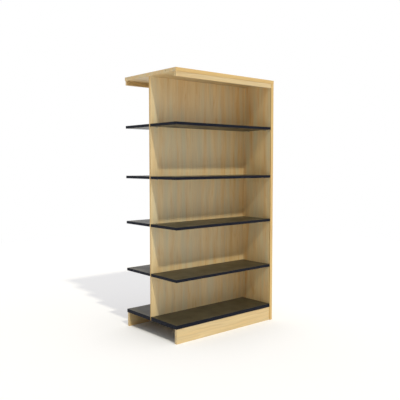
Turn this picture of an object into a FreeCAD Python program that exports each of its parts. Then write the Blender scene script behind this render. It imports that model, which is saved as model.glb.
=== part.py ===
import FreeCAD
import Part

import math
import os

# Double sided library shelving, the add-on bay of a run, in millimetres.
#
# X runs along the bay, from the joining plane, which is open until the end panel of the bay before closes it,
# to the bay's own end panel.  The two faces look along -Y (front) and +Y (back) and are mirror images.
# Z is up, and the origin is on the floor under the middle of the whole.
#
# The end panel and both kicks stand on the floor.  The end panel and the canopy are grooved for the divider,
# which stands on two rails let into the kicks.  Each face has a fixed base shelf and four loose shelves.

# ---------------------------------------------------------------- driving dimensions

HEIGHT = 1828.8
DEPTH = 596.9
BAY_LENGTH = 914.4                  # joining plane to the end panel's inner face
OPEN_END_GAP = 3.5                  # fascias, divider and kicks stop this far short of the joining plane

END_PANEL_THICKNESS = 25.4
LIPPING_DEPTH = 10.0                # solid wood edge of the end panel, each side
LIPPING_ROUND = 2.0

TOP_THICKNESS = 25.4
TOP_BAND = 3.0                      # solid wood band round the canopy board
TOP_BAND_ROUND = 1.5

FASCIA_HEIGHT = 31.75
FASCIA_THICKNESS = 19.05
FASCIA_SETBACK = 3.0                # from the canopy board's edge
FASCIA_ROUND = 1.5
TONGUE_THICKNESS = 6.0              # tongue on the fascia, glued into the canopy board
TONGUE_HEIGHT = 6.0

KICK_HEIGHT = 101.6
KICK_THICKNESS = 19.05
KICK_SETBACK = 6.35                 # from the end panel's edge

DIVIDER_THICKNESS = 12.7
DIVIDER_BAND = 2.0                  # band on the divider's edge at the open end
GROOVE_DEPTH = 6.0                  # how far the divider goes into the end panel and the canopy board

RAIL_THICKNESS = 19.05
RAIL_HEIGHT = 80.0
RAIL_INSET_LEFT = 200.0             # joining plane to the left rail
RAIL_INSET_RIGHT = 240.0            # end panel to the right rail
DADO_DEPTH = 6.0                    # how far a rail goes into each kick

CLEAT_SIZE = 22.0                   # square strip under the base shelf's end
CLEAT_END_GAP = 12.0

BASE_SHELF_THICKNESS = 25.4
SHELF_THICKNESS = 19.05
SHELF_SETBACK = 3.0                 # shelf edges stand back from the end panel's edge
SHELF_CLEARANCE = 1.5               # loose shelf to the panels beside and behind it
SHELF_BAND = 2.0                    # plastic bands on the shelf's outer edge and ends
SHELF_BAND_ROUND = 1.2              # on the outer edge
SHELF_BAND_TRIM = 0.6               # chamfer on the ends
SHELF_TOPS = (435.0, 784.4, 1117.4, 1479.5)     # upper faces above the floor, lowest first

PIN_RADIUS = 2.5
PIN_DEPTH = 9.0                     # shank in the end panel
PIN_DROP = 4.5                      # shank's axis below the blade's flat top
PIN_FLANGE = 1.2
PIN_FLANGE_WIDTH = 10.0
PIN_FLANGE_HEIGHT = 8.0
PIN_BLADE_LENGTH = 14.0
PIN_BLADE_WIDTH = 9.0
PIN_BLADE_THICKNESS = 2.4
PIN_RIB_WIDTH = 3.0

PIN_SIDES = 12                      # shanks and their holes are drawn many-sided, to keep the panels light

HOLE_PITCH = 32.0
SPARE_HOLES = 1                     # free holes above and below each pin
HOLE_ROW_INSET = 60.0               # pin rows to the end panel's edges, the divider and the joining plane

CAM_RADIUS = 7.5
CAM_DEPTH = 13.0
CAM_OFFSET = 34.0                   # cam's axis from the kick's end that it draws tight
CAM_SLOT_WIDTH = 8.4                # lets the bolt in and holds clear of it
CAM_SLOT_ROOF = 2.0                 # metal left over the slot
CAM_CROSS_LENGTH = 8.0
CAM_CROSS_WIDTH = 1.6
CAM_CROSS_DEPTH = 1.4
BOLT_RADIUS = 3.0
BOLT_GRIP = 11.0                    # thread in the board that is drawn tight
BOLT_HOOK = 1.5                     # how far the bolt reaches past the cam's axis
BOLT_BORE_RADIUS = 4.0

DOWEL_RADIUS = 4.0                  # dowels that hold the canopy board on the end panel
DOWEL_IN_PANEL = 24.0
DOWEL_IN_CANOPY = 12.0
CANOPY_JOINT_INSET = 110.0          # canopy's dowels and joint bores from its front and back edges
JOINT_BORE_RADIUS = 4.0             # bores in the open end, for the dowels of the bay before
JOINT_BORE_DEPTH = 30.0

LEVELLER_PAD_SIDES = 6
LEVELLER_PAD_RADIUS = 8.0           # to the middle of a flat
LEVELLER_PAD_THICKNESS = 6.0
LEVELLER_STEM_RADIUS = 4.0
LEVELLER_STEM_LENGTH = 32.0         # above the pad
LEVELLER_INSET = 70.0               # end panel's levellers from its edges
BLOCK_SIZE = 46.0                   # leveller block, square in plan
BLOCK_HEIGHT = 60.0

# ---------------------------------------------------------------- clearances

FIT = 0.05                          # radial, pins, bolts, dowels and stems in their holes
CAM_FIT = 0.1                       # radial, cam in its bore
GROOVE_CLEARANCE = 0.15             # each side of the divider or a tongue in its groove
GROOVE_END_GAP = 0.5                # behind the divider, a tongue or a rail
PAD_CLEARANCE = 1.0                 # round and above a leveller's pad
SHANK_GAP = 0.3                     # between two shanks that meet inside the divider
CUTTER_OVERRUN = 1.0                # how far a cutting tool starts outside the face

# ---------------------------------------------------------------- places worked out from them

JOIN_X = -(BAY_LENGTH + END_PANEL_THICKNESS) / 2
OUTER_X = -JOIN_X
INNER_X = OUTER_X - END_PANEL_THICKNESS
EDGE_Y = -DEPTH / 2                                  # front edge of the end panel and the canopy
FASCIA_Y = EDGE_Y + FASCIA_SETBACK                   # outer face of the front fascia
KICK_Y = EDGE_Y + KICK_SETBACK                       # outer face of the front kick
KICK_INNER_Y = KICK_Y + KICK_THICKNESS
OPEN_X = JOIN_X + OPEN_END_GAP                       # open end of fascias, divider and kicks
DIVIDER_Y = -DIVIDER_THICKNESS / 2                   # divider's front face
SHELF_EDGE_Y = EDGE_Y + SHELF_SETBACK
SHELF_START_X = JOIN_X + SHELF_CLEARANCE             # loose shelves, bands included
SHELF_STOP_X = INNER_X - SHELF_CLEARANCE
SHELF_REAR_Y = DIVIDER_Y - SHELF_CLEARANCE
TOP_UNDERSIDE = HEIGHT - TOP_THICKNESS
BASE_SHELF_TOP = KICK_HEIGHT + BASE_SHELF_THICKNESS
RAIL_LEFT_X = JOIN_X + RAIL_INSET_LEFT
RAIL_RIGHT_X = INNER_X - RAIL_INSET_RIGHT - RAIL_THICKNESS
END_ROWS_Y = (EDGE_Y + HOLE_ROW_INSET, DIVIDER_Y - HOLE_ROW_INSET)
DIVIDER_COLUMN_X = JOIN_X + HOLE_ROW_INSET
PANEL_MIDDLE_X = (INNER_X + OUTER_X) / 2
LEVELLER_Y = EDGE_Y + LEVELLER_INSET
BLOCK_X = RAIL_LEFT_X + RAIL_THICKNESS
BLOCK_MIDDLE = (BLOCK_X + BLOCK_SIZE / 2, KICK_INNER_Y + BLOCK_SIZE / 2)
BLOCK_FLOOR = LEVELLER_PAD_THICKNESS + PAD_CLEARANCE
POCKET_RADIUS = LEVELLER_PAD_RADIUS / math.cos(math.pi / LEVELLER_PAD_SIDES) + PAD_CLEARANCE

EAST = FreeCAD.Vector(1, 0, 0)
NORTH = FreeCAD.Vector(0, 1, 0)
UP = FreeCAD.Vector(0, 0, 1)


# ---------------------------------------------------------------- helpers

def board(x, y, z):
    """A plain board between the low and high values of x, y and z."""
    low = FreeCAD.Vector(x[0], y[0], z[0])
    return Part.makeBox(x[1] - x[0], y[1] - y[0], z[1] - z[0], low)


def rod(radius, length, start, direction):
    return Part.makeCylinder(radius, length, start, direction)


def prism(sides, radius, length, start, direction):
    """A rod with flat sides, each the radius away from its axis."""
    across = NORTH if near(abs(direction.x), 1) else EAST
    upward = direction.cross(across)
    corner_radius = radius / math.cos(math.pi / sides)
    corners = []
    for corner in range(sides + 1):
        angle = 2 * math.pi * (corner + 0.5) / sides
        corners.append(start + (across * math.cos(angle) + upward * math.sin(angle)) * corner_radius)
    return Part.Face(Part.makePolygon(corners)).extrude(direction * length)


def drill(shape, radius, depth, mouth, inward):
    """Drills a blind hole from the mouth, a point on the face, along the inward direction."""
    return shape.cut(rod(radius, depth + CUTTER_OVERRUN, mouth - inward * CUTTER_OVERRUN, inward))


def mirrored(shape):
    """The same piece on the back face."""
    return shape.mirror(FreeCAD.Vector(0, 0, 0), NORTH)


def both_faces(shape):
    return [shape, mirrored(shape)]


def edges_along(shape, direction, touches):
    """The edges along one direction that lie where the test says."""
    picked = []
    for edge in shape.Edges:
        run = edge.Vertexes[-1].Point - edge.Vertexes[0].Point
        if run.cross(direction).Length < 1e-6 and touches(edge.CenterOfMass):
            picked.append(edge)
    return picked


def eased(shape, radius, direction, touches):
    """Rounds such edges."""
    return shape.makeFillet(radius, edges_along(shape, direction, touches))


def trimmed(shape, width, direction, touches):
    """Chamfers such edges."""
    return shape.makeChamfer(width, edges_along(shape, direction, touches))


def near(value, target):
    return abs(value - target) < 1e-6


# ---------------------------------------------------------------- places of pins and holes

def pin_axis_z(shelf_top):
    return shelf_top - SHELF_THICKNESS - PIN_DROP


def hole_heights():
    """Every height in a row of pin holes: the pin's own and the spare ones above and below it."""
    heights = []
    for shelf_top in SHELF_TOPS:
        for step in range(-SPARE_HOLES, SPARE_HOLES + 1):
            heights.append(pin_axis_z(shelf_top) + step * HOLE_PITCH)
    return heights


# ---------------------------------------------------------------- knock-down joints

def cam_bore(shape, end, outward, face_normal, depth_to_face):
    """Cuts a cam's bore and the bolt's bore into a board.

    end is where the bolt's axis leaves the board's end, and outward points out of that end.  face_normal
    points out of the face that the cam is dropped into, and depth_to_face is how far that face lies from the
    bolt's axis.
    """
    mouth = end - outward * CAM_OFFSET + face_normal * depth_to_face
    shape = drill(shape, CAM_RADIUS, CAM_DEPTH, mouth, -face_normal)
    return drill(shape, BOLT_BORE_RADIUS, CAM_OFFSET + BOLT_HOOK + FIT, end, -outward)


def cam_lock(end, outward, face_normal, depth_to_face):
    """The cam itself, flush with the face: a disc with a slot for the bolt's head and a cross recess."""
    sideways = outward.cross(face_normal)
    face_point = end - outward * CAM_OFFSET + face_normal * depth_to_face
    disc = rod(CAM_RADIUS - CAM_FIT, CAM_DEPTH - CAM_FIT, face_point, -face_normal)
    slot = along_axes(
        face_point - face_normal * CAM_SLOT_ROOF,
        (outward, -2 * BOLT_HOOK, CAM_RADIUS + CUTTER_OVERRUN),
        (sideways, -CAM_SLOT_WIDTH / 2, CAM_SLOT_WIDTH / 2),
        (-face_normal, 0, CAM_DEPTH),
    )
    disc = disc.cut(slot)
    for long_way, short_way in ((outward, sideways), (sideways, outward)):
        arm = along_axes(
            face_point,
            (long_way, -CAM_CROSS_LENGTH / 2, CAM_CROSS_LENGTH / 2),
            (short_way, -CAM_CROSS_WIDTH / 2, CAM_CROSS_WIDTH / 2),
            (face_normal, -CAM_CROSS_DEPTH, CUTTER_OVERRUN),
        )
        disc = disc.cut(arm)
    return disc


def along_axes(origin, *spans):
    """A box from an origin and three (direction, low, high) spans along the frame's axes."""
    low = FreeCAD.Vector(origin)
    high = FreeCAD.Vector(origin)
    for direction, start, stop in spans:
        low += direction * start
        high += direction * stop
    corners = FreeCAD.BoundBox()
    corners.add(low)
    corners.add(high)
    return board(
        (corners.XMin, corners.XMax),
        (corners.YMin, corners.YMax),
        (corners.ZMin, corners.ZMax),
    )


def cam_bolt(end, outward):
    """From inside the cam's slot to the end of its thread in the board beyond."""
    hooked_end = end - outward * (CAM_OFFSET + BOLT_HOOK)
    return rod(BOLT_RADIUS, BOLT_HOOK + CAM_OFFSET + BOLT_GRIP, hooked_end, outward)


def kick_end(end_x):
    """Middle of the front kick's end."""
    return FreeCAD.Vector(end_x, KICK_Y + KICK_THICKNESS / 2, KICK_HEIGHT / 2)


def kick_cam():
    """Where a cam draws the front kick to the end panel, as cam_bore and cam_lock take it."""
    return kick_end(INNER_X), EAST, NORTH, KICK_THICKNESS / 2


def kick_bolt_hole():
    """The tool for the hole in the end panel where the front kick's bolt is screwed in."""
    mouth = kick_end(INNER_X) - EAST * CUTTER_OVERRUN
    return rod(BOLT_RADIUS + FIT, BOLT_GRIP + FIT + CUTTER_OVERRUN, mouth, EAST)


def canopy_dowel(clearance):
    """The front dowel between end panel and canopy board, or the hole for it, with a clearance all round."""
    foot = FreeCAD.Vector(
        PANEL_MIDDLE_X,
        EDGE_Y + CANOPY_JOINT_INSET,
        TOP_UNDERSIDE - DOWEL_IN_PANEL - clearance,
    )
    return rod(DOWEL_RADIUS + clearance, DOWEL_IN_PANEL + DOWEL_IN_CANOPY + 2 * clearance, foot, UP)


# ---------------------------------------------------------------- end panel

def end_panel():
    """Veneered core, grooved for the divider and bored for pins, bolts, dowels and levellers."""
    core_edge = EDGE_Y + LIPPING_DEPTH
    core = board((INNER_X, OUTER_X), (core_edge, -core_edge), (0, TOP_UNDERSIDE))
    groove_half = DIVIDER_THICKNESS / 2 + GROOVE_CLEARANCE
    groove = board(
        (INNER_X - CUTTER_OVERRUN, INNER_X + GROOVE_DEPTH + GROOVE_END_GAP),
        (-groove_half, groove_half),
        (KICK_HEIGHT, HEIGHT),
    )
    core = core.cut(groove)
    cutters = []
    for y in END_ROWS_Y:
        for z in hole_heights():
            mouth = FreeCAD.Vector(INNER_X - CUTTER_OVERRUN, y, z)
            hole = prism(PIN_SIDES, PIN_RADIUS + FIT, PIN_DEPTH + FIT + CUTTER_OVERRUN, mouth, EAST)
            cutters += both_faces(hole)
    cutters += both_faces(kick_bolt_hole())
    cutters += both_faces(canopy_dowel(FIT))
    foot = FreeCAD.Vector(PANEL_MIDDLE_X, LEVELLER_Y, -CUTTER_OVERRUN)
    pocket = rod(POCKET_RADIUS, BLOCK_FLOOR + CUTTER_OVERRUN, foot, UP)
    shaft_length = BLOCK_FLOOR + LEVELLER_STEM_LENGTH + CUTTER_OVERRUN
    shaft = rod(LEVELLER_STEM_RADIUS + FIT, shaft_length, foot, UP)
    cutters += both_faces(pocket) + both_faces(shaft)
    return core.cut(Part.makeCompound(cutters))


def end_panel_lipping():
    strip = board((INNER_X, OUTER_X), (EDGE_Y, EDGE_Y + LIPPING_DEPTH), (0, TOP_UNDERSIDE))
    strip = eased(strip, LIPPING_ROUND, UP, lambda point: near(point.y, EDGE_Y))
    return strip.cut(kick_bolt_hole())


# ---------------------------------------------------------------- canopy

def top_board():
    """Canopy board, with stopped grooves underneath for the divider and the two fascias."""
    band_edge = EDGE_Y + TOP_BAND
    core = board((JOIN_X, OUTER_X - TOP_BAND), (band_edge, -band_edge), (TOP_UNDERSIDE, HEIGHT))
    half = DIVIDER_THICKNESS / 2 + GROOVE_CLEARANCE
    divider_groove = board(
        (OPEN_X - GROOVE_CLEARANCE, INNER_X + GROOVE_DEPTH + GROOVE_END_GAP),
        (-half, half),
        (TOP_UNDERSIDE - CUTTER_OVERRUN, TOP_UNDERSIDE + GROOVE_DEPTH + GROOVE_END_GAP),
    )
    middle = FASCIA_Y + FASCIA_THICKNESS / 2
    half = TONGUE_THICKNESS / 2 + GROOVE_CLEARANCE
    tongue_groove = board(
        (OPEN_X - GROOVE_CLEARANCE, INNER_X),
        (middle - half, middle + half),
        (TOP_UNDERSIDE - CUTTER_OVERRUN, TOP_UNDERSIDE + TONGUE_HEIGHT + GROOVE_END_GAP),
    )
    joint_mouth = FreeCAD.Vector(
        JOIN_X - CUTTER_OVERRUN,
        EDGE_Y + CANOPY_JOINT_INSET,
        TOP_UNDERSIDE + TOP_THICKNESS / 2,
    )
    joint_bore = rod(JOINT_BORE_RADIUS, JOINT_BORE_DEPTH + CUTTER_OVERRUN, joint_mouth, EAST)
    cutters = [divider_groove]
    for tool in (tongue_groove, joint_bore, canopy_dowel(FIT)):
        cutters += both_faces(tool)
    return core.cut(Part.makeCompound(cutters))


def top_band_front():
    strip = board((JOIN_X, OUTER_X), (EDGE_Y, EDGE_Y + TOP_BAND), (TOP_UNDERSIDE, HEIGHT))
    return eased(strip, TOP_BAND_ROUND, EAST, lambda point: near(point.y, EDGE_Y))


def top_band_end():
    band_edge = EDGE_Y + TOP_BAND
    strip = board((OUTER_X - TOP_BAND, OUTER_X), (band_edge, -band_edge), (TOP_UNDERSIDE, HEIGHT))
    return eased(strip, TOP_BAND_ROUND, NORTH, lambda point: near(point.x, OUTER_X))


def fascia():
    """Front fascia with the tongue that holds it under the canopy board."""
    strip = board(
        (OPEN_X, INNER_X),
        (FASCIA_Y, FASCIA_Y + FASCIA_THICKNESS),
        (TOP_UNDERSIDE - FASCIA_HEIGHT, TOP_UNDERSIDE),
    )
    lower_edge = TOP_UNDERSIDE - FASCIA_HEIGHT
    strip = eased(strip, FASCIA_ROUND, EAST, lambda point: near(point.z, lower_edge))
    middle = FASCIA_Y + FASCIA_THICKNESS / 2
    tongue = board(
        (OPEN_X, INNER_X),
        (middle - TONGUE_THICKNESS / 2, middle + TONGUE_THICKNESS / 2),
        (TOP_UNDERSIDE, TOP_UNDERSIDE + TONGUE_HEIGHT),
    )
    return strip.fuse(tongue).removeSplitter()


# ---------------------------------------------------------------- divider

def divider_panel():
    """Panel between the two faces, held in the end panel's and the canopy's grooves."""
    panel = board(
        (OPEN_X + DIVIDER_BAND, INNER_X + GROOVE_DEPTH),
        (DIVIDER_Y, -DIVIDER_Y),
        (KICK_HEIGHT, TOP_UNDERSIDE + GROOVE_DEPTH),
    )
    cutters = []
    for z in hole_heights():
        start = FreeCAD.Vector(DIVIDER_COLUMN_X, DIVIDER_Y - CUTTER_OVERRUN, z)
        through = DIVIDER_THICKNESS + 2 * CUTTER_OVERRUN
        cutters.append(prism(PIN_SIDES, PIN_RADIUS + FIT, through, start, NORTH))
    return panel.cut(Part.makeCompound(cutters))


def divider_band():
    strip = board(
        (OPEN_X, OPEN_X + DIVIDER_BAND),
        (DIVIDER_Y, -DIVIDER_Y),
        (KICK_HEIGHT, TOP_UNDERSIDE + GROOVE_DEPTH),
    )
    return eased(strip, DIVIDER_BAND / 2, UP, lambda point: near(point.x, OPEN_X))


# ---------------------------------------------------------------- base

def kick():
    """Front kick, let in for the rails, with a cam's bores at one end and a joint bore at the other."""
    plank = board((OPEN_X, INNER_X), (KICK_Y, KICK_INNER_Y), (0, KICK_HEIGHT))
    for rail_x in (RAIL_LEFT_X, RAIL_RIGHT_X):
        plank = plank.cut(board(
            (rail_x, rail_x + RAIL_THICKNESS),
            (KICK_INNER_Y - DADO_DEPTH - GROOVE_END_GAP, KICK_INNER_Y + CUTTER_OVERRUN),
            (KICK_HEIGHT - RAIL_HEIGHT, KICK_HEIGHT + CUTTER_OVERRUN),
        ))
    plank = cam_bore(plank, *kick_cam())
    return drill(plank, JOINT_BORE_RADIUS, JOINT_BORE_DEPTH, kick_end(OPEN_X), EAST)


def base_rail(rail_x):
    """Cross rail that carries the divider and the base shelves between the kicks."""
    half = -KICK_INNER_Y + DADO_DEPTH
    return board((rail_x, rail_x + RAIL_THICKNESS), (-half, half), (KICK_HEIGHT - RAIL_HEIGHT, KICK_HEIGHT))


def base_cleat():
    return board(
        (INNER_X - CLEAT_SIZE, INNER_X),
        (KICK_INNER_Y + CLEAT_END_GAP, DIVIDER_Y - CLEAT_END_GAP),
        (KICK_HEIGHT - CLEAT_SIZE, KICK_HEIGHT),
    )


def base_shelf():
    """Front base shelf without its bands, from the joining plane to the end panel and back to the divider."""
    return board(
        (JOIN_X + SHELF_BAND, INNER_X - SHELF_BAND),
        (SHELF_EDGE_Y + SHELF_BAND, DIVIDER_Y),
        (KICK_HEIGHT, BASE_SHELF_TOP),
    )


def leveller_block():
    """Block in the corner of kick and rail, bored for the leveller's stem."""
    x, y = BLOCK_MIDDLE
    half = BLOCK_SIZE / 2
    block = board((x - half, x + half), (y - half, y + half), (BLOCK_FLOOR, BLOCK_FLOOR + BLOCK_HEIGHT))
    mouth = FreeCAD.Vector(x, y, BLOCK_FLOOR)
    return drill(block, LEVELLER_STEM_RADIUS + FIT, LEVELLER_STEM_LENGTH, mouth, UP)


# ---------------------------------------------------------------- loose shelves

def shelf(shelf_top):
    """Front shelf without its bands, clear of the joining plane, the end panel and the divider."""
    return board(
        (SHELF_START_X + SHELF_BAND, SHELF_STOP_X - SHELF_BAND),
        (SHELF_EDGE_Y + SHELF_BAND, SHELF_REAR_Y),
        (shelf_top - SHELF_THICKNESS, shelf_top),
    )


def shelf_bands(start_x, stop_x, rear_y, z):
    """Plastic bands of a front shelf: one on its outer edge and one on each end."""
    corner_y = SHELF_EDGE_Y + SHELF_BAND
    edge = board((start_x, stop_x), (SHELF_EDGE_Y, corner_y), z)
    bands = [eased(edge, SHELF_BAND_ROUND, EAST, lambda point: near(point.y, SHELF_EDGE_Y))]
    start = board((start_x, start_x + SHELF_BAND), (corner_y, rear_y), z)
    bands.append(trimmed(start, SHELF_BAND_TRIM, NORTH, lambda point: near(point.x, start_x)))
    stop = board((stop_x - SHELF_BAND, stop_x), (corner_y, rear_y), z)
    bands.append(trimmed(stop, SHELF_BAND_TRIM, NORTH, lambda point: near(point.x, stop_x)))
    return Part.makeCompound(bands)


def base_shelf_bands():
    return shelf_bands(JOIN_X, INNER_X, DIVIDER_Y, (KICK_HEIGHT, BASE_SHELF_TOP))


def loose_shelf_bands(shelf_top):
    return shelf_bands(SHELF_START_X, SHELF_STOP_X, SHELF_REAR_Y, (shelf_top - SHELF_THICKNESS, shelf_top))


def shelf_pin(mouth, turn, depth):
    """A shelf support: round shank in the panel, stop flange, and a blade on a rib under the shelf.

    It is made with the shank's axis along X and the blade towards +X, then turned about Z, in degrees.
    """
    half = PIN_FLANGE_WIDTH / 2
    blade_half = PIN_BLADE_WIDTH / 2
    blade_under = PIN_DROP - PIN_BLADE_THICKNESS
    shank = prism(PIN_SIDES, PIN_RADIUS, depth, FreeCAD.Vector(-depth, 0, 0), EAST)
    flange = board((0, PIN_FLANGE), (-half, half), (PIN_DROP - PIN_FLANGE_HEIGHT, PIN_DROP - PIN_FLANGE))
    blade = board((0, PIN_BLADE_LENGTH), (-blade_half, blade_half), (blade_under, PIN_DROP))
    rib_side = Part.makePolygon([
        FreeCAD.Vector(0, -PIN_RIB_WIDTH / 2, PIN_DROP - PIN_FLANGE_HEIGHT),
        FreeCAD.Vector(PIN_BLADE_LENGTH, -PIN_RIB_WIDTH / 2, blade_under),
        FreeCAD.Vector(0, -PIN_RIB_WIDTH / 2, blade_under),
        FreeCAD.Vector(0, -PIN_RIB_WIDTH / 2, PIN_DROP - PIN_FLANGE_HEIGHT),
    ])
    rib = Part.Face(rib_side).extrude(NORTH * PIN_RIB_WIDTH)
    pin = shank.multiFuse([flange, blade, rib]).removeSplitter()
    pin.rotate(FreeCAD.Vector(0, 0, 0), UP, turn)
    pin.translate(mouth)
    return pin


def shelf_pins(shelf_top):
    """The three pins of a front shelf: two in the end panel and one in the divider."""
    z = pin_axis_z(shelf_top)
    pins = []
    for y in END_ROWS_Y:
        pins.append(shelf_pin(FreeCAD.Vector(INNER_X, y, z), 180, PIN_DEPTH))
    divider_mouth = FreeCAD.Vector(DIVIDER_COLUMN_X, DIVIDER_Y, z)
    pins.append(shelf_pin(divider_mouth, -90, (DIVIDER_THICKNESS - SHANK_GAP) / 2))
    return Part.makeCompound(pins)


# ---------------------------------------------------------------- hardware

def cam_locks():
    """The two cams that draw the kicks to the end panel."""
    return Part.makeCompound(both_faces(cam_lock(*kick_cam())))


def cam_bolts():
    """The bolts that the cams pull on, screwed into the end panel."""
    return Part.makeCompound(both_faces(cam_bolt(*kick_cam()[:2])))


def canopy_dowels():
    return Part.makeCompound(both_faces(canopy_dowel(0)))


def leveller(x, y):
    """A six-sided pad on its screw stem, screwed right in, with the pad's sole on the floor."""
    sole = FreeCAD.Vector(x, y, 0)
    pad = prism(LEVELLER_PAD_SIDES, LEVELLER_PAD_RADIUS, LEVELLER_PAD_THICKNESS, sole, UP)
    stem_start = FreeCAD.Vector(x, y, LEVELLER_PAD_THICKNESS)
    stem = rod(LEVELLER_STEM_RADIUS, LEVELLER_STEM_LENGTH, stem_start, UP)
    return pad.fuse(stem).removeSplitter()


# ---------------------------------------------------------------- all nodes

def paired(nodes, name, shape):
    nodes[name + "_front"] = shape
    nodes[name + "_back"] = mirrored(shape)


def all_nodes():
    nodes = {
        "end_panel": end_panel(),
        "top_board": top_board(),
        "top_band_end": top_band_end(),
        "divider_panel": divider_panel(),
        "divider_band": divider_band(),
        "base_rail_left": base_rail(RAIL_LEFT_X),
        "base_rail_right": base_rail(RAIL_RIGHT_X),
        "cam_locks": cam_locks(),
        "cam_bolts": cam_bolts(),
        "canopy_dowels": canopy_dowels(),
    }
    paired(nodes, "end_panel_lipping", end_panel_lipping())
    paired(nodes, "top_band", top_band_front())
    paired(nodes, "fascia", fascia())
    paired(nodes, "kick", kick())
    paired(nodes, "base_cleat", base_cleat())
    paired(nodes, "base_shelf", base_shelf())
    paired(nodes, "base_shelf_band", base_shelf_bands())
    paired(nodes, "leveller_block", leveller_block())
    paired(nodes, "leveller_panel", leveller(PANEL_MIDDLE_X, LEVELLER_Y))
    paired(nodes, "leveller_left", leveller(*BLOCK_MIDDLE))
    for number, shelf_top in enumerate(SHELF_TOPS, start=1):
        paired(nodes, f"shelf_{number}", shelf(shelf_top))
        paired(nodes, f"shelf_band_{number}", loose_shelf_bands(shelf_top))
        paired(nodes, f"shelf_pins_{number}", shelf_pins(shelf_top))
    return nodes


os.makedirs("parts", exist_ok=True)
for name, shape in all_nodes().items():
    shape.exportStep(f"parts/{name}.step")
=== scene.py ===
import math

import bmesh
import bpy
from mathutils import Matrix, Vector


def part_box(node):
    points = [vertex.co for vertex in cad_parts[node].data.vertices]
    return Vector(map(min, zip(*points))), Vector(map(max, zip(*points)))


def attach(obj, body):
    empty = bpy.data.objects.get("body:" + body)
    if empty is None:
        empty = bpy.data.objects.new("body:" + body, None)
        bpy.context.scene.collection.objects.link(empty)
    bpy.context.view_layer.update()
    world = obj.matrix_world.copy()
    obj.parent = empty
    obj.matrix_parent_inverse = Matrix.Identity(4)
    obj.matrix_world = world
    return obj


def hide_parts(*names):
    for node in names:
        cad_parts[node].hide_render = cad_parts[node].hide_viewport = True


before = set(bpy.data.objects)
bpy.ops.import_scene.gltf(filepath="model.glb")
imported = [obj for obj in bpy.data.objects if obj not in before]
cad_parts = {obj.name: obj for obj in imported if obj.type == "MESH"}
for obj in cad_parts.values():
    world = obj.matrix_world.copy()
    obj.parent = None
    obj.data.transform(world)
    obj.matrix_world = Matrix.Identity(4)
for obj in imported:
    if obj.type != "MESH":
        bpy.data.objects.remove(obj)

bl_info = {
    "name": "Double Sided Library Shelving",
    "version": (1, 0, 0),
    "blender": (4, 5, 0),
    "location": "View3D > Sidebar > Shelving",
    "description": "Finishes and hardware of a double sided library shelving bay, and its stage",
    "category": "Object",
}

# Lengths are in metres.

FACES = ("front", "back")
SHELF_NUMBERS = (1, 2, 3, 4)
ROOT_BODY = "carcass"


# ---------------------------------------------------------------- what a user would change

def colour(name, description, value):
    return bpy.props.FloatVectorProperty(
        name=name, description=description, subtype="COLOR", size=3, min=0, max=1, default=value
    )


def length(name, description, value):
    return bpy.props.FloatProperty(
        name=name, description=description, subtype="DISTANCE", unit="LENGTH", min=0, default=value
    )


def strength(name, description, value):
    return bpy.props.FloatProperty(name=name, description=description, min=0, default=value)


def share(name, description, value):
    return bpy.props.FloatProperty(
        name=name, description=description, subtype="FACTOR", min=0, max=1, default=value
    )


class ShelvingWood(bpy.types.PropertyGroup):
    """Veneer, solid edges and the raw wood of the base frame"""

    pale: colour("Pale Wood", "Ground colour of the veneer", (0.84, 0.64, 0.33))
    tan: colour("Tan Wood", "Warm streaks of the veneer", (0.70, 0.42, 0.155))
    grey: colour("Grey Wood", "Cooler, greyer streaks of the veneer", (0.70, 0.60, 0.38))
    edge: colour("Solid Edge", "Lippings and bands of solid wood", (0.67, 0.465, 0.185))
    edge_dark: colour("Solid Edge Line", "Growth lines of the solid edges", (0.56, 0.34, 0.12))
    raw: colour("Raw Wood", "Unfinished rails, cleats, blocks and dowels", (0.62, 0.44, 0.24))
    raw_dark: colour("Raw Wood Line", "Growth lines of the unfinished wood", (0.42, 0.26, 0.12))
    leaf_width: length("Leaf Width", "Width of one veneer leaf", 0.23)
    lacquer: share("Lacquer Roughness", "How dull the clear lacquer is", 0.42)


class ShelvingLaminate(bpy.types.PropertyGroup):
    """Black shelf faces and their edge bands"""

    # The warm brown in this dark colour is partly the laminate's own and partly painted reflection of the
    # wood veneer in the shelf tops.
    face: colour("Shelf Face", "Black laminate", (0.066, 0.056, 0.032))
    band: colour("Shelf Band", "Black plastic band on the outer edge and ends", (0.007, 0.009, 0.017))
    sheen: share("Face Roughness", "How dull the laminate is", 0.32)


class ShelvingMetal(bpy.types.PropertyGroup):
    """Plated hardware"""

    nickel: colour("Nickel", "Shelf pins", (0.60, 0.58, 0.54))
    zinc: colour("Zinc", "Cams, bolts and levellers", (0.52, 0.54, 0.56))
    pin_edge: length("Edge Radius", "How far the edges of pins, cams and bolts are rounded", 0.0002)
    foot_thickness: length("Foot Thickness", "Height of a leveller's six-sided foot", 0.006)
    stem_diameter: length("Stem Diameter", "Outer diameter of a leveller's thread", 0.008)
    stem_pitch: length("Thread Pitch", "Rise of a leveller's thread in one turn", 0.00125)


class ShelvingStage(bpy.types.PropertyGroup):
    """Floor, light and camera"""

    floor: colour("Floor", "Plain pale floor", (0.955, 0.95, 0.935))
    key_strength: strength("Key Strength", "Strength of the key light", 1.45)
    top_strength: strength("Top Strength", "Strength of the soft light overhead", 0.85)
    sky_strength: strength("Sky Strength", "Strength of the even light from all round", 0.57)
    lens: bpy.props.FloatProperty(
        name="Lens", description="Focal length of the camera", subtype="DISTANCE_CAMERA", default=50.0
    )


# ---------------------------------------------------------------- material helpers

def add(tree, kind, inputs=(), **settings):
    """A node with its settings and inputs: each input is a (name or number, socket or value) pair."""
    node = tree.nodes.new("ShaderNode" + kind)
    for key, value in settings.items():
        setattr(node, key, value)
    for key, value in inputs:
        if isinstance(value, bpy.types.NodeSocket):
            tree.links.new(value, node.inputs[key])
        else:
            node.inputs[key].default_value = value
    return node


def maths(tree, operation, *values, clamp=False):
    node = add(tree, "Math", list(enumerate(values)), operation=operation, use_clamp=clamp)
    return node.outputs[0]


def opaque(value):
    return (*value, 1.0)


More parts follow.
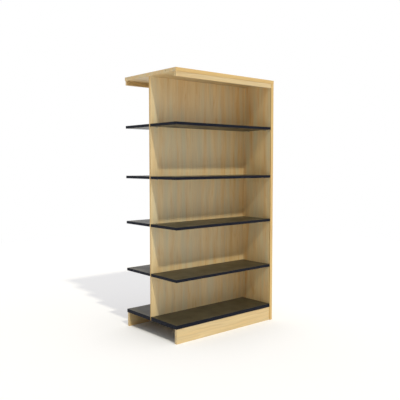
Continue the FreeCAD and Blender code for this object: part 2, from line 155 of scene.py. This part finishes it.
def blend(tree, amount, first, second, kind="MIX"):
    """Two colours mixed by an amount."""
    node = add(tree, "Mix", data_type="RGBA", blend_type=kind)
    for index, value in ((0, amount), (6, first), (7, second)):
        if isinstance(value, bpy.types.NodeSocket):
            tree.links.new(value, node.inputs[index])
        else:
            node.inputs[index].default_value = value if index == 0 else opaque(value)
    return node.outputs[2]


def spread(tree, value, low, high, to_low, to_high):
    """The value taken from low..high to to_low..to_high, held at both ends."""
    node = add(tree, "MapRange", ((0, value), (1, low), (2, high), (3, to_low), (4, to_high)))
    return node.outputs[0]


def noise(tree, vector, scale, detail=2.0, roughness=0.5):
    inputs = (("Vector", vector), ("Scale", scale), ("Detail", detail), ("Roughness", roughness))
    return add(tree, "TexNoise", inputs, noise_dimensions="3D").outputs["Fac"]


def object_place(tree):
    return add(tree, "TexCoord").outputs["Object"]


def start(name, **constants):
    """A new material with its Principled shader, whose constants are set on its own sockets."""
    material = bpy.data.materials.new(name)
    material.use_nodes = True
    shader = material.node_tree.nodes["Principled BSDF"]
    for key, value in constants.items():
        shader.inputs[key.replace("_", " ")].default_value = value
    return material, material.node_tree, shader


def surfaced(tree, shader, base, tone, dullness):
    """Gives a shader its colour, which a tone round 1 makes darker or lighter, and its roughness."""
    grey = add(tree, "CombineColor", ((0, tone), (1, tone), (2, tone))).outputs[0]
    tree.links.new(blend(tree, 1.0, base, grey, "MULTIPLY"), shader.inputs["Base Color"])
    tree.links.new(dullness, shader.inputs["Roughness"])


def bumped(tree, shader, height, amount, distance):
    bump = add(tree, "Bump", (("Height", height), ("Strength", amount), ("Distance", distance)))
    tree.links.new(bump.outputs[0], shader.inputs["Normal"])


def dress(names, material):
    """Puts a material in the slots of CAD nodes."""
    for name in names:
        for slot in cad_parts[name].material_slots:
            slot.material = material


def paired(*names):
    return [f"{name}_{face}" for name in names for face in FACES]


# ---------------------------------------------------------------- materials

MOST = (0.3, 0.7)                               # nearly all values of a noise lie between these,
MIDDLE = (0.35, 0.65)                           # and most of them between these

# Patterns of wood: the share of the run along the grain that is left, so that they come out long, and the
# noise's scale, detail and roughness.
VENEER_PATTERNS = {
    "clouds": (0.22, 7.0, 2.0, 0.5),
    "warm_bands": (0.075, 24.0, 2.5, 0.5),
    "cool_bands": (0.085, 20.0, 2.5, 0.5),
    "flecks": (0.13, 64.0, 2.5, 0.55),
    "fine_lines": (0.018, 150.0, 2.0, 0.6),
    "fibres": (0.012, 520.0, 3.0, 0.65),
    "pores": (0.06, 420.0, 1.0, 0.5),
}
SOLID_PATTERNS = {
    "fibres": (0.012, 620.0, 3.0, 0.65),
    "patches": (0.2, 9.0, 2.0, 0.5),
}
SOLID_LINES = (0.02, 2.0, 0.55)                 # the same for solid wood's growth lines, but for the scale

# What the veneer's patterns do: a pattern's values from and to, and the least and most of a colour that it
# brings over them. The extras only have a most.
WARM_BANDS = (0.40, 0.70, 0.10, 0.62)
COOL_BANDS = (0.42, 0.66, 0.05, 0.75)
WARM_EXTRAS = (("flecks", 0.58, 0.74, 0.45), ("clouds", 0.45, 0.70, 0.20), ("rings", 0.56, 0.70, 0.20))
PORE_BAND = (0.66, 0.78)
PORE_TONE = 0.90
FIBRE_TONES = (0.95, 1.04)

SOLID_LINE_BAND, SOLID_LINE_MOST = (0.46, 0.70), 0.62
SOLID_PATCH_BAND, SOLID_PATCH_MOST = (0.42, 0.70), 0.30
SOLID_FIBRE_TONES = (0.94, 1.04)

LEAF_SHIFT = 0.9                                # leaves are moved along the grain by up to this
WANDER = 0.05                                   # how far the grain wanders sideways
WANDER_SCALE = 6.0
WANDER_RUN = 0.5
ARCH = 9.0                                      # how far the growth lines arch up a leaf
RING_RUN = 1.6                                  # growth lines along the grain
RING_SCALE = 5.0
LEAF_TONE = 0.02                                # how much leaves differ in lightness
LINE_DARK = 0.045                               # how much fine lines darken and lighten the wood
LINE_LIGHT = 0.035
WOOD_DULLER = 0.06                              # how far the roughness of wood goes over and under its own
WOOD_SHINIER = 0.04
WOOD_BUMP = 0.12                                # how strongly fibres show in lacquered and in raw wood
RAW_BUMP = 0.3
FIBRE_HEIGHT = 0.0004
EDGE_LINE_SCALE = 140.0


def grain_space(tree, along, across, shift):
    """Object coordinates as the place across the grain, into the board and along the grain."""
    place = add(tree, "SeparateXYZ", ((0, object_place(tree)),)).outputs
    axis = {"x": place[0], "y": place[1], "z": place[2]}
    depth = ({"x", "y", "z"} - {along, across}).pop()
    return axis[across], axis[depth], maths(tree, "ADD", axis[along], shift)


def shortened(tree, side, depth, run, amount):
    """A place whose run along the grain is shortened, so that patterns come out long."""
    inputs = ((0, side), (1, depth), (2, maths(tree, "MULTIPLY", run, amount)))
    return add(tree, "CombineXYZ", inputs).outputs[0]


def patterns(tree, side, depth, run, table):
    """The noises of a table of patterns, by name."""
    return {
        name: noise(tree, shortened(tree, side, depth, run, amount), scale, detail, roughness)
        for name, (amount, scale, detail, roughness) in table.items()
    }


def wood_dullness(tree, fibres, roughness):
    return spread(tree, fibres, *MOST, roughness + WOOD_DULLER, roughness - WOOD_SHINIER)


def veneer(name, along, across, wood, shift, contrast=1.0, light=1.0, painted_light_tint=0.0, lines=1.0):
    """Sliced veneer: leaves side by side, each with bands, streaks, arched growth lines, fibres and pores.

    Shift picks another stretch of the figure, and contrast is how strong it is. Light makes all of it
    lighter; it is under 1 on the sunlit canopy, fascia and kick and over 1 on the end panel, which stands
    in shade, so it is partly the boards' own tone and partly painted light and shade. Drift makes one side
    of the board greyer and the other warmer: a painted light tint, cool open light on one side and warm
    light bounced off the wood on the other. Lines is how strong the fine lines are.
    """
    material, tree, shader = start(name, IOR=1.5)
    side, depth, run = grain_space(tree, along, across, shift)
    leaf = maths(tree, "FLOOR", maths(tree, "DIVIDE", side, wood.leaf_width))
    seed = maths(tree, "ADD", leaf, shift)
    chance = add(tree, "TexWhiteNoise", ((1, seed),), noise_dimensions="1D").outputs[0]
    run = maths(tree, "ADD", run, maths(tree, "MULTIPLY", chance, LEAF_SHIFT))

    wander = noise(tree, shortened(tree, side, depth, run, WANDER_RUN), WANDER_SCALE)
    wander = maths(tree, "SUBTRACT", wander, 0.5)
    side = maths(tree, "ADD", side, maths(tree, "MULTIPLY", wander, WANDER))
    grain = patterns(tree, side, depth, run, VENEER_PATTERNS)

    middle = maths(tree, "MULTIPLY", maths(tree, "ADD", leaf, 0.5), wood.leaf_width)
    off_middle = maths(tree, "DIVIDE", maths(tree, "SUBTRACT", side, middle), wood.leaf_width)
    arch = maths(tree, "MULTIPLY", maths(tree, "MULTIPLY", off_middle, off_middle), ARCH)
    rings = maths(tree, "SUBTRACT", arch, maths(tree, "MULTIPLY", run, RING_RUN))
    rings = maths(tree, "ADD", rings, grain["clouds"])
    ring_inputs = (("W", rings), ("Scale", RING_SCALE), ("Detail", 2.0))
    grain["rings"] = add(tree, "TexNoise", ring_inputs, noise_dimensions="1D").outputs["Fac"]

    # Painted light tint: the warm share grows and the cool share shrinks across the board, as if warm light
    # bounced off the wood fell on one side and cool open light on the other.
    turn = maths(tree, "MULTIPLY", side, painted_light_tint)
    low, high, least, most = WARM_BANDS
    warm = spread(tree, grain["warm_bands"], low, high, least * contrast, most * contrast)
    for pattern, low, high, most in WARM_EXTRAS:
        warm = maths(tree, "ADD", warm, spread(tree, grain[pattern], low, high, 0.0, most * contrast))
    warm = maths(tree, "ADD", warm, turn, clamp=True)
    low, high, least, most = COOL_BANDS
    cool = spread(tree, grain["cool_bands"], low, high, least, most * contrast)
    cool = maths(tree, "SUBTRACT", cool, turn, clamp=True)
    base = blend(tree, cool, blend(tree, warm, wood.pale, wood.tan), wood.grey)

    # Light scales the whole tone: partly the board's own tone, partly painted light and shade.
    fibre_tone = spread(tree, grain["fibres"], *MOST, *[tone * light for tone in FIBRE_TONES])
    leaf_tone = spread(tree, chance, 0.0, 1.0, -LEAF_TONE, LEAF_TONE)
    line_tone = spread(tree, grain["fine_lines"], *MOST, 1 - LINE_DARK * lines, 1 + LINE_LIGHT * lines)
    pore_tone = spread(tree, grain["pores"], *PORE_BAND, 1.0, PORE_TONE)
    tone = maths(tree, "MULTIPLY", maths(tree, "ADD", fibre_tone, leaf_tone), line_tone)
    tone = maths(tree, "MULTIPLY", tone, pore_tone)
    surfaced(tree, shader, base, tone, wood_dullness(tree, grain["fibres"], wood.lacquer))
    bumped(tree, shader, grain["fibres"], WOOD_BUMP, FIBRE_HEIGHT)
    return material


def solid_wood(name, along, across, pale, dark, roughness, line_scale, shift, bump):
    """Solid wood: growth lines along the grain, with fibres."""
    material, tree, shader = start(name, IOR=1.5)
    side, depth, run = grain_space(tree, along, across, shift)
    amount, detail, harshness = SOLID_LINES
    table = {"lines": (amount, line_scale, detail, harshness), **SOLID_PATTERNS}
    grain = patterns(tree, side, depth, run, table)
    lined = spread(tree, grain["lines"], *SOLID_LINE_BAND, 0.0, SOLID_LINE_MOST)
    patchy = spread(tree, grain["patches"], *SOLID_PATCH_BAND, 0.0, SOLID_PATCH_MOST)
    base = blend(tree, maths(tree, "ADD", lined, patchy, clamp=True), pale, dark)
    tone = spread(tree, grain["fibres"], *MOST, *SOLID_FIBRE_TONES)
    surfaced(tree, shader, base, tone, wood_dullness(tree, grain["fibres"], roughness))
    bumped(tree, shader, grain["fibres"], bump, FIBRE_HEIGHT)
    return material


def edge_wood(name, along, across, wood, shift):
    """Lacquered solid wood of lippings and bands."""
    return solid_wood(
        name, along, across, wood.edge, wood.edge_dark, wood.lacquer, EDGE_LINE_SCALE, shift, WOOD_BUMP
    )


def raw_wood(name, along, across, wood, roughness, line_scale, shift):
    """Unfinished sawn wood of rails, cleats, blocks and dowels."""
    return solid_wood(
        name, along, across, wood.raw, wood.raw_dark, roughness, line_scale, shift, RAW_BUMP
    )


def black_face(laminate):
    """Satin black laminate with a fine pebbled press texture and a faint cloudiness; its warm brown is partly
    painted reflection of the wood.
    """
    material, tree, shader = start("black_laminate", IOR=1.5, Specular_IOR_Level=0.06)
    place = object_place(tree)
    cloud = noise(tree, place, 9.0, 3.0, 0.6)
    pebble = noise(tree, place, 900.0)
    tone = spread(tree, cloud, *MIDDLE, 0.90, 1.12)
    dullness = spread(tree, cloud, *MIDDLE, laminate.sheen + 0.04, laminate.sheen - 0.03)
    # The face colour carries a warm brown that is partly painted reflection of the wood.
    surfaced(tree, shader, laminate.face, tone, dullness)
    bumped(tree, shader, pebble, 0.10, 0.0003)
    return material


def black_edge(laminate):
    """Black plastic band, less warm than the faces and brushed along its length."""
    material, tree, shader = start("black_band", IOR=1.49, Specular_IOR_Level=0.08)
    place = object_place(tree)
    along = add(tree, "Mapping", (("Vector", place), ("Scale", (0.05, 1.0, 1.0)))).outputs[0]
    brushed = noise(tree, along, 700.0, 2.0, 0.6)
    tone = spread(tree, noise(tree, place, 30.0), *MIDDLE, 0.88, 1.12)
    surfaced(tree, shader, laminate.band, tone, spread(tree, brushed, *MIDDLE, 0.34, 0.44))
    bumped(tree, shader, brushed, 0.06, 0.0002)
    return material


def plated(name, metal, roughness, grain_scale):
    """Plated steel with fine tumbling marks and slightly duller patches."""
    material, tree, shader = start(name, Metallic=1.0)
    place = object_place(tree)
    marks = noise(tree, place, grain_scale, 3.0, 0.6)
    tone = spread(tree, noise(tree, place, 60.0), *MIDDLE, 0.92, 1.05)
    surfaced(tree, shader, metal, tone, spread(tree, marks, *MOST, roughness - 0.06, roughness + 0.10))
    bumped(tree, shader, marks, 0.05, 0.0002)
    return material


# ---------------------------------------------------------------- pieces

STEEP = math.radians(25)                        # edges that turn by more than this are sharp
FLAT = math.radians(2)                          # and less than this is one face
WELD = 2e-6                                     # corners closer than this are one
SHORTEST_EDGE = 1e-5
DOWEL_EDGE = 0.0008                             # how far the dowels' ends are rounded
FOOT_SIDES = 6
FOOT_EDGE = 0.0007
STEM_SIDES = 24
STEM_EDGE = 0.0005
STEM_START = 0.8                                # the stem starts this far up the foot
THREAD_STEPS = 20                               # in one turn
THREAD_DEPTH = 0.6                              # of the pitch
THREAD_WIDTH = 0.9                              # of the pitch
THREAD_ROOT = 0.96                              # of the core's radius, so that the tooth grows out of it
THREAD_END = 0.001                              # plain end over the thread


def finished(shape, name, body, node, material):
    """Makes an object of a shape, in place of a CAD node, riding on a body."""
    bmesh.ops.recalc_face_normals(shape, faces=shape.faces)
    for face in shape.faces:
        face.smooth = True
    mesh = bpy.data.meshes.new(name)
    shape.to_mesh(mesh)
    shape.free()
    mesh.set_sharp_from_angle(angle=STEEP)
    mesh.materials.append(material)
    piece = bpy.data.objects.new(name, mesh)
    bpy.context.scene.collection.objects.link(piece)
    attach(piece, body)
    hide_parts(node)


def round_edges(shape, width):
    """Rounds the sharp edges of a closed shape."""
    sharp = [edge for edge in shape.edges if edge.calc_face_angle(0) > STEEP]
    bmesh.ops.bevel(
        shape, geom=sharp, offset=width, offset_type="OFFSET", segments=2,
        profile=0.5, affect="EDGES", clamp_overlap=False, material=-1,
    )
    bmesh.ops.dissolve_degenerate(shape, dist=SHORTEST_EDGE, edges=shape.edges)


def rounded(name, node, width, material):
    """A CAD node's own shape with its edges rounded."""
    shape = bmesh.new()
    shape.from_mesh(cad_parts[node].data)
    bmesh.ops.remove_doubles(shape, verts=shape.verts, dist=WELD)
    bmesh.ops.dissolve_limit(shape, angle_limit=FLAT, verts=shape.verts, edges=shape.edges)
    round_edges(shape, width)
    finished(shape, name, ROOT_BODY, node, material)


def rod(shape, sides, radius, low, high, turn, edge):
    """Adds a many-sided rod round the Z axis. Its edges are rounded apart, which keeps each run the same."""
    part = bmesh.new()
    bmesh.ops.create_cone(
        part, cap_ends=True, segments=sides, radius1=radius, radius2=radius, depth=high - low,
        matrix=Matrix.Translation((0, 0, (low + high) / 2)) @ Matrix.Rotation(turn, 4, "Z"),
    )
    round_edges(part, edge)
    mesh = bpy.data.meshes.new("rod")
    part.to_mesh(mesh)
    part.free()
    shape.from_mesh(mesh)
    bpy.data.meshes.remove(mesh)


def thread(shape, root, crest, pitch, low, high):
    """Winds a screw thread round the Z axis: a tooth's outline is spun and raised, with closed ends."""
    steps = int((high - low - pitch) / pitch * THREAD_STEPS)
    width = pitch * THREAD_WIDTH
    inner = root * THREAD_ROOT
    places = ((inner, low), (crest, low + width / 2), (inner, low + width))
    corners = [shape.verts.new((across, 0, up)) for across, up in places]
    tooth = [shape.edges.new((corners[index - 1], corners[index])) for index in range(3)]
    bmesh.ops.spin(
        shape, geom=[*corners, *tooth], cent=(0, 0, 0), axis=(0, 0, 1), dvec=(0, 0, pitch / THREAD_STEPS),
        angle=math.tau * steps / THREAD_STEPS, steps=steps, use_merge=False,
    )
    bmesh.ops.holes_fill(shape, edges=[edge for edge in shape.edges if edge.is_boundary], sides=3)


# ---------------------------------------------------------------- operators

class SHELVING_OT_finish_panels(bpy.types.Operator):
    """Veneers the end panel and the divider, with upright grain and solid edges"""

    bl_idname = "shelving.finish_panels"
    bl_label = "Finish Panels"

    def execute(self, context):
        wood = context.scene.shelving_wood
        # Light over 1 lifts the end panel, whose faces stand in shade: partly its own tone, partly painted
        # light.
        end = veneer("veneer_end_panel", "z", "y", wood, shift=3.1, contrast=1.2, light=1.12)
        # The divider's drift paints a light tint: greyer towards the open end, warmer towards the end panel.
        divider = veneer("veneer_divider", "z", "x", wood, shift=7.3, light=1.01, painted_light_tint=0.3)
        dress(["end_panel"], end)
        dress(["divider_panel"], divider)
        edges = [*paired("end_panel_lipping"), "divider_band"]
        dress(edges, edge_wood("edge_upright", "z", "y", wood, 1.7))
        return {"FINISHED"}


class SHELVING_OT_finish_canopy(bpy.types.Operator):
    """Veneers the canopy board and fascias, with grain along the bay, and finishes the canopy's bands"""

    bl_idname = "shelving.finish_canopy"
    bl_label = "Finish Canopy"

    def execute(self, context):
        wood = context.scene.shelving_wood
        # Light under 1 darkens the sunlit canopy and fascia: partly their own tone, partly painted shade.
        board = veneer("veneer_canopy", "x", "y", wood, shift=11.9, light=0.87, lines=1.5)
        fascia = veneer("veneer_fascia", "x", "z", wood, shift=5.3, contrast=0.6, light=0.85, lines=2.5)
        dress(["top_board"], board)
        dress(paired("fascia"), fascia)
        dress(paired("top_band"), edge_wood("edge_along", "x", "z", wood, 4.1))
        dress(["top_band_end"], edge_wood("edge_end", "y", "z", wood, 9.6))
        return {"FINISHED"}


class SHELVING_OT_finish_base(bpy.types.Operator):
    """Veneers the kicks, gives the hidden rails, cleats and blocks raw wood, and makes the canopy's dowels"""

    bl_idname = "shelving.finish_base"
    bl_label = "Finish Base"

    def execute(self, context):
        wood = context.scene.shelving_wood
        # Light under 1 darkens the sunlit kick: partly its own tone, partly painted shade.
        kick = veneer("veneer_kick", "x", "z", wood, shift=2.2, contrast=0.5, light=0.87, lines=2.5)
        dress(paired("kick"), kick)
        rails = ["base_rail_left", "base_rail_right"]
        dress(rails, raw_wood("raw_rails", "y", "z", wood, 0.75, 90.0, 6.4))
        dress(paired("base_cleat"), raw_wood("raw_cleats", "y", "x", wood, 0.78, 110.0, 8.8))
        dress(paired("leveller_block"), raw_wood("raw_blocks", "z", "x", wood, 0.78, 100.0, 0.6))
        dowel = raw_wood("raw_dowels", "z", "x", wood, 0.7, 160.0, 3.9)
        rounded("dowels", "canopy_dowels", DOWEL_EDGE, dowel)
        return {"FINISHED"}


class SHELVING_OT_finish_shelves(bpy.types.Operator):
    """Gives the base shelves and the loose shelves black laminate and black bands"""

    bl_idname = "shelving.finish_shelves"
    bl_label = "Finish Shelves"

    def execute(self, context):
        laminate = context.scene.shelving_laminate
        boards = paired("base_shelf", *[f"shelf_{number}" for number in SHELF_NUMBERS])
        bands = paired("base_shelf_band", *[f"shelf_band_{number}" for number in SHELF_NUMBERS])
        dress(boards, black_face(laminate))
        dress(bands, black_edge(laminate))
        return {"FINISHED"}


class SHELVING_OT_build_pins(bpy.types.Operator):
    """Makes the nickel plated shelf pins, with rounded edges"""

    bl_idname = "shelving.build_pins"
    bl_label = "Build Shelf Pins"

    def execute(self, context):
        metal = context.scene.shelving_metal
        nickel = plated("nickel_plate", metal.nickel, 0.24, 900.0)
        for node in paired(*[f"shelf_pins_{number}" for number in SHELF_NUMBERS]):
            rounded(node.replace("shelf_pins", "pins"), node, metal.pin_edge, nickel)
        return {"FINISHED"}


class SHELVING_OT_build_fittings(bpy.types.Operator):
    """Makes the zinc plated cams and bolts that draw the kicks to the end panel"""

    bl_idname = "shelving.build_fittings"
    bl_label = "Build Cams and Bolts"

    def execute(self, context):
        metal = context.scene.shelving_metal
        cast = plated("zinc_cast", metal.zinc, 0.40, 500.0)
        turned = plated("zinc_bolt", metal.zinc, 0.30, 700.0)
        rounded("cams", "cam_locks", metal.pin_edge, cast)
        rounded("bolts", "cam_bolts", metal.pin_edge, turned)
        return {"FINISHED"}


class SHELVING_OT_build_levellers(bpy.types.Operator):
    """Makes the levellers: a six-sided foot and a threaded stem with an eased top"""

    bl_idname = "shelving.build_levellers"
    bl_label = "Build Levellers"

    def execute(self, context):
        metal = context.scene.shelving_metal
        zinc = plated("zinc_plate", metal.zinc, 0.34, 700.0)
        crest = metal.stem_diameter / 2
        root = crest - THREAD_DEPTH * metal.stem_pitch
        for node in paired("leveller_panel", "leveller_left"):
            low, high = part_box(node)
            middle = (low + high) / 2
            wide, deep = high.x - low.x, high.y - low.y
            turn = math.radians(90) if wide > deep else 0.0
            top = high.z - low.z
            shape = bmesh.new()
            rod(shape, FOOT_SIDES, max(wide, deep) / 2, 0, metal.foot_thickness, turn, FOOT_EDGE)
            rod(shape, STEM_SIDES, root, metal.foot_thickness * STEM_START, top, 0, STEM_EDGE)
            thread(shape, root, crest, metal.stem_pitch, metal.foot_thickness, top - THREAD_END)
            bmesh.ops.translate(shape, verts=shape.verts, vec=(middle.x, middle.y, low.z))
            finished(shape, node.replace("leveller", "foot"), node, node, zinc)
        return {"FINISHED"}


# ---------------------------------------------------------------- stage

KEY_FALL = Vector((0.226, 0.982, -1.0))         # the way the key light falls
KEY_ANGLE = math.radians(2.6)
KEY_COLOUR = (1.0, 0.956, 0.80)
TOP_FALL = Vector((0, 0, -1))
TOP_ANGLE = math.radians(30)
TOP_COLOUR = (0.97, 0.95, 1.0)
LAMP_DISTANCE = 4.0
SKY_COLOUR = (0.96, 0.965, 0.985)
SKY_SLOPE = 0.45                                # how much brighter the sky is on the end panel's side
CAMERA_PLACE = Vector((-2.7186, -3.151, 1.2034))
CAMERA_YAW = 0.7103                             # radians, to the right of straight back
CAMERA_PITCH = -0.0649
CAMERA_ROLL = -0.0008
FLOOR_HALF = 20.0
FOOTPRINT_HALF = (0.47, 0.29)                   # of the object on the floor, along X and Y
# Near the object the white is painted light that lifts the floor's cast shadow; it stops at the footprint, so
# the floor under the object stays darker.
NEAR_BAND, NEAR_PAINTED_LIGHT = (-0.03, 0.02), 0.25     # where the floor whitens, measured outwards from the
FAR_BAND, FAR_WHITE = (1.6, 5.0), 0.75          # footprint, and by how much


def seen_rays(tree):
    """1 for the rays that see plain white: the camera's own, and those that metal and glass send on."""
    rays = add(tree, "LightPath").outputs
    seen = maths(tree, "MAXIMUM", rays["Is Camera Ray"], rays["Is Glossy Ray"])
    return maths(tree, "MAXIMUM", seen, rays["Is Transmission Ray"])


def floor_material(stage):
    """Plain pale floor that turns white away from the object where it is seen, and keeps its shadow, which
    painted light lifts from just outside the object's footprint.
    """
    material = bpy.data.materials.new("floor")
    material.use_nodes = True
    tree = material.node_tree
    tree.nodes.clear()
    place = add(tree, "SeparateXYZ", ((0, object_place(tree)),)).outputs
    out = [
        maths(tree, "SUBTRACT", maths(tree, "ABSOLUTE", place[index]), half)
        for index, half in enumerate(FOOTPRINT_HALF)
    ]
    out = maths(tree, "MAXIMUM", *out)
    # Painted light: a glow that lifts the cast shadow from just outside the footprint.
    near_painted_light = spread(tree, out, *NEAR_BAND, 0.0, NEAR_PAINTED_LIGHT)
    far = spread(tree, out, *FAR_BAND, 0.0, FAR_WHITE)
    amount = maths(tree, "MULTIPLY", maths(tree, "ADD", near_painted_light, far), seen_rays(tree))
    matt = add(tree, "BsdfDiffuse", (("Color", opaque(stage.floor)),)).outputs[0]
    white = add(tree, "Emission", (("Color", (1, 1, 1, 1)), ("Strength", 1.0))).outputs[0]
    mixed = add(tree, "MixShader", ((0, amount), (1, matt), (2, white))).outputs[0]
    tree.links.new(mixed, add(tree, "OutputMaterial").inputs["Surface"])
    return material


def build_floor(context, stage):
    shape = bmesh.new()
    bmesh.ops.create_grid(shape, x_segments=1, y_segments=1, size=FLOOR_HALF)
    mesh = bpy.data.meshes.new("floor")
    shape.to_mesh(mesh)
    shape.free()
    mesh.materials.append(floor_material(stage))
    floor = bpy.data.objects.new("floor", mesh)
    context.scene.collection.objects.link(floor)


def build_sky(context, stage):
    """An even sky that lights the object, brighter on one side, and is seen as plain white."""
    world = bpy.data.worlds.new("studio")
    context.scene.world = world
    world.use_nodes = True
    tree = world.node_tree
    tree.nodes.clear()
    direction = add(tree, "TexCoord").outputs["Generated"]
    sideways = add(tree, "SeparateXYZ", ((0, direction),)).outputs[0]
    dim, bright = stage.sky_strength * (1 - SKY_SLOPE), stage.sky_strength * (1 + SKY_SLOPE)
    level = spread(tree, sideways, -1, 1, dim, bright)
    sky = add(tree, "Background", ((0, opaque(SKY_COLOUR)), (1, level))).outputs[0]
    white = add(tree, "Background", ((0, (1, 1, 1, 1)), (1, 1.0))).outputs[0]
    mixed = add(tree, "MixShader", ((0, seen_rays(tree)), (1, sky), (2, white))).outputs[0]
    tree.links.new(mixed, add(tree, "OutputWorld").inputs["Surface"])


def build_lamp(context, name, fall, energy, angle, tint):
    light = bpy.data.lights.new(name, "SUN")
    light.energy = energy
    light.angle = angle
    light.color = tint
    lamp = bpy.data.objects.new(name, light)
    lamp.rotation_euler = fall.to_track_quat("-Z", "Y").to_euler()
    lamp.location = fall * -LAMP_DISTANCE
    context.scene.collection.objects.link(lamp)


def build_camera(context, lens):
    forward = Vector((
        math.sin(CAMERA_YAW) * math.cos(CAMERA_PITCH),
        math.cos(CAMERA_YAW) * math.cos(CAMERA_PITCH),
        math.sin(CAMERA_PITCH),
    ))
    right = Vector((math.cos(CAMERA_YAW), -math.sin(CAMERA_YAW), 0))
    upward = right.cross(forward)
    turn = Matrix((right, upward, -forward)).transposed() @ Matrix.Rotation(CAMERA_ROLL, 3, "Z")
    data = bpy.data.cameras.new("camera")
    data.lens = lens
    camera = bpy.data.objects.new("camera", data)
    camera.matrix_world = Matrix.Translation(CAMERA_PLACE) @ turn.to_4x4()
    context.scene.collection.objects.link(camera)
    context.scene.camera = camera


class SHELVING_OT_build_stage(bpy.types.Operator):
    """Makes the plain pale floor, the soft light and the camera"""

    bl_idname = "shelving.build_stage"
    bl_label = "Build Stage"

    def execute(self, context):
        stage = context.scene.shelving_stage
        build_floor(context, stage)
        build_sky(context, stage)
        build_lamp(context, "key", KEY_FALL, stage.key_strength, KEY_ANGLE, KEY_COLOUR)
        build_lamp(context, "top", TOP_FALL, stage.top_strength, TOP_ANGLE, TOP_COLOUR)
        build_camera(context, stage.lens)
        context.scene.view_settings.view_transform = "Standard"
        return {"FINISHED"}


# ---------------------------------------------------------------- sidebar and registration

class SHELVING_PT_sidebar(bpy.types.Panel):
    """Lists the steps of the shelving bay"""

    bl_idname = "SHELVING_PT_sidebar"
    bl_label = "Library Shelving"
    bl_space_type = "VIEW_3D"
    bl_region_type = "UI"
    bl_category = "Shelving"

    def draw(self, context):
        for operator in OPERATORS:
            self.layout.operator(operator.bl_idname)
        for group, name in GROUPS.items():
            box = self.layout.box()
            settings = getattr(context.scene, name)
            for key in group.__annotations__:
                box.prop(settings, key)


OPERATORS = (
    SHELVING_OT_finish_panels,
    SHELVING_OT_finish_canopy,
    SHELVING_OT_finish_base,
    SHELVING_OT_finish_shelves,
    SHELVING_OT_build_pins,
    SHELVING_OT_build_fittings,
    SHELVING_OT_build_levellers,
    SHELVING_OT_build_stage,
)
GROUPS = {
    ShelvingWood: "shelving_wood",
    ShelvingLaminate: "shelving_laminate",
    ShelvingMetal: "shelving_metal",
    ShelvingStage: "shelving_stage",
}


def register():
    for group, name in GROUPS.items():
        bpy.utils.register_class(group)
        setattr(bpy.types.Scene, name, bpy.props.PointerProperty(type=group))
    for operator in OPERATORS:
        bpy.utils.register_class(operator)
    bpy.utils.register_class(SHELVING_PT_sidebar)


def unregister():
    bpy.utils.unregister_class(SHELVING_PT_sidebar)
    for operator in reversed(OPERATORS):
        bpy.utils.unregister_class(operator)
    for group, name in reversed(GROUPS.items()):
        delattr(bpy.types.Scene, name)
        bpy.utils.unregister_class(group)


def main():
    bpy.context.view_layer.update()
    register()
    bpy.ops.shelving.finish_panels()
    bpy.ops.shelving.finish_canopy()
    bpy.ops.shelving.finish_base()
    bpy.ops.shelving.finish_shelves()
    bpy.ops.shelving.build_pins()
    bpy.ops.shelving.build_fittings()
    bpy.ops.shelving.build_levellers()
    bpy.ops.shelving.build_stage()


if __name__ == "__main__":
    main()
